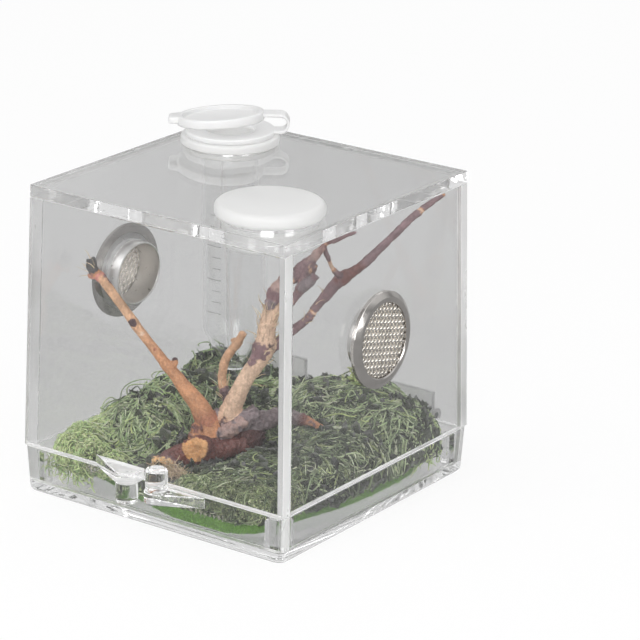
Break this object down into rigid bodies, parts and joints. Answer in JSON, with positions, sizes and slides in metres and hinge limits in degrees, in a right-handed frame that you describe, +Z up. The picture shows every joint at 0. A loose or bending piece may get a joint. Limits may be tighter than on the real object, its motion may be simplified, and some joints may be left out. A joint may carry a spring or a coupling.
{
  "type": "spider terrarium",
  "caption": "Clear hinged cube for a small jumping spider, with meshed round vents, a top plug, a capped feeding tube, moss and a climbing branch.",
  "frame": {"origin": "centre of the tray's underside, on the surface that the box stands on", "axes": "+Z up; -Y is the front, with the two opening pegs; +Y is the hinge side; +X and -X are the walls with the round vents"},
  "size_m": [0.0826, 0.0904, 0.0889],
  "materials": {
    "clear_acrylic": "clear, polished, faintly grey at the edges",
    "hinge_plastic": "white, slightly translucent",
    "silicone": "milky white, matte",
    "tube_plastic": "clear with a faint milky tint",
    "cap_plastic": "milky translucent",
    "vent_steel": "polished, bevelled edge",
    "mesh_steel": "fine woven wire",
    "pin_steel": "plain drawn",
    "green_felt": "bright green felt",
    "dried_moss": "curled sage and dark green strands",
    "yellow_moss": "fluffy yellow green clumps",
    "bark": "weathered twig, bark partly peeled"
  },
  "bodies": {
    "tray": {"tray_floor": "clear_acrylic", "tray_front_wall": "clear_acrylic", "tray_back_wall": "clear_acrylic", "tray_left_wall": "clear_acrylic", "tray_right_wall": "clear_acrylic", "corner_posts": "clear_acrylic", "tray_tab": "clear_acrylic", "tray_peg": "clear_acrylic", "tray_hinge_leaves": "hinge_plastic", "hinge_pins": "pin_steel", "moss_mat": "green_felt", "moss_bed": "dried_moss", "moss_tufts": "yellow_moss", "branch": "bark"},
    "cover": {"cover_top": "clear_acrylic", "cover_front_wall": "clear_acrylic", "cover_back_wall": "clear_acrylic", "cover_left_wall": "clear_acrylic", "cover_right_wall": "clear_acrylic", "cover_tab": "clear_acrylic", "cover_peg": "clear_acrylic", "cover_hinge_leaves": "hinge_plastic", "right_vent_bezel": "vent_steel", "right_vent_mesh": "mesh_steel", "right_vent_sleeve": "vent_steel", "left_vent_bezel": "vent_steel", "left_vent_mesh": "mesh_steel", "left_vent_sleeve": "vent_steel", "tube_grommet": "silicone"},
    "plug": {"silicone_plug": "silicone"},
    "tube": {"feeding_tube": "tube_plastic"},
    "cap": {"tube_cap": "cap_plastic"}
  },
  "joints": [
    {"name": "cover_hinge", "type": "hinge", "parent": "tray", "child": "cover", "pos_m": [0, 0.0422, 0.0122], "axis": [-1, 0, 0], "range_deg": [0, 100]},
    {"name": "plug_lift", "type": "slide", "parent": "cover", "child": "plug", "axis": [0, 0, 1], "range_m": [0, 0.02]},
    {"name": "tube_lift", "type": "slide", "parent": "cover", "child": "tube", "axis": [0, 0, 1], "range_m": [0, 0.07]},
    {"name": "cap_flip", "type": "hinge", "parent": "tube", "child": "cap", "pos_m": [-0.01091, 0.03053, 0.0854], "axis": [-0.5764, 0.8171, 0], "range_deg": [0, 110]}
  ]
}
